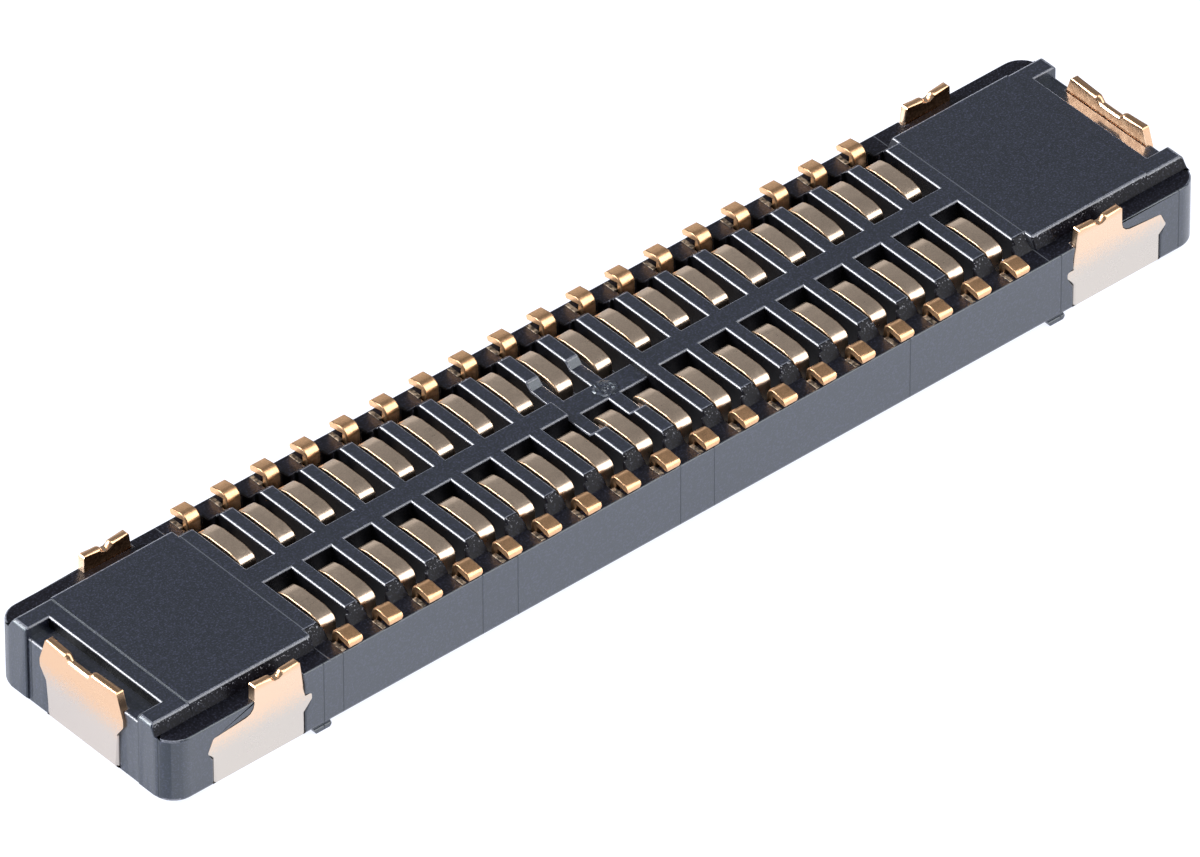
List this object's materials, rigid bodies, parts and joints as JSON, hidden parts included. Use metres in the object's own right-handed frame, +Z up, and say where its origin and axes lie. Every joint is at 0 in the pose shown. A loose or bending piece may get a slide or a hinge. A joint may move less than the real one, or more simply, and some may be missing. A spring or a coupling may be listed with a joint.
{
  "type": "board to board connector",
  "caption": "Fine-pitch board to board receptacle: a long low dark housing, two rows of gold contacts, and gold fitting nails let into its ends and sides.",
  "frame": {"origin": "bottom centre of the bounding box, under the mating rim's pips", "axes": "+X along the contact rows, +Y across them, +Z up from the mating side to the solder side"},
  "size_m": [0.0092, 0.0018, 0.0007],
  "materials": {
    "housing": "matte",
    "contact_gold": "satin",
    "hold_down_gold": "satin"
  },
  "bodies": {
    "root": {"housing": "housing", "contact_near_01": "contact_gold", "contact_near_02": "contact_gold", "contact_near_03": "contact_gold", "contact_near_04": "contact_gold", "contact_near_05": "contact_gold", "contact_near_06": "contact_gold", "contact_near_07": "contact_gold", "contact_near_08": "contact_gold", "contact_near_09": "contact_gold", "contact_near_10": "contact_gold", "contact_near_11": "contact_gold", "contact_near_12": "contact_gold", "contact_near_13": "contact_gold", "contact_near_14": "contact_gold", "contact_near_15": "contact_gold", "contact_near_16": "contact_gold", "contact_near_17": "contact_gold", "contact_near_18": "contact_gold", "contact_far_01": "contact_gold", "contact_far_02": "contact_gold", "contact_far_03": "contact_gold", "contact_far_04": "contact_gold", "contact_far_05": "contact_gold", "contact_far_06": "contact_gold", "contact_far_07": "contact_gold", "contact_far_08": "contact_gold", "contact_far_09": "contact_gold", "contact_far_10": "contact_gold", "contact_far_11": "contact_gold", "contact_far_12": "contact_gold", "contact_far_13": "contact_gold", "contact_far_14": "contact_gold", "contact_far_15": "contact_gold", "contact_far_16": "contact_gold", "contact_far_17": "contact_gold", "contact_far_18": "contact_gold", "hold_down_left": "hold_down_gold", "hold_down_right": "hold_down_gold"}
  },
  "joints": []
}
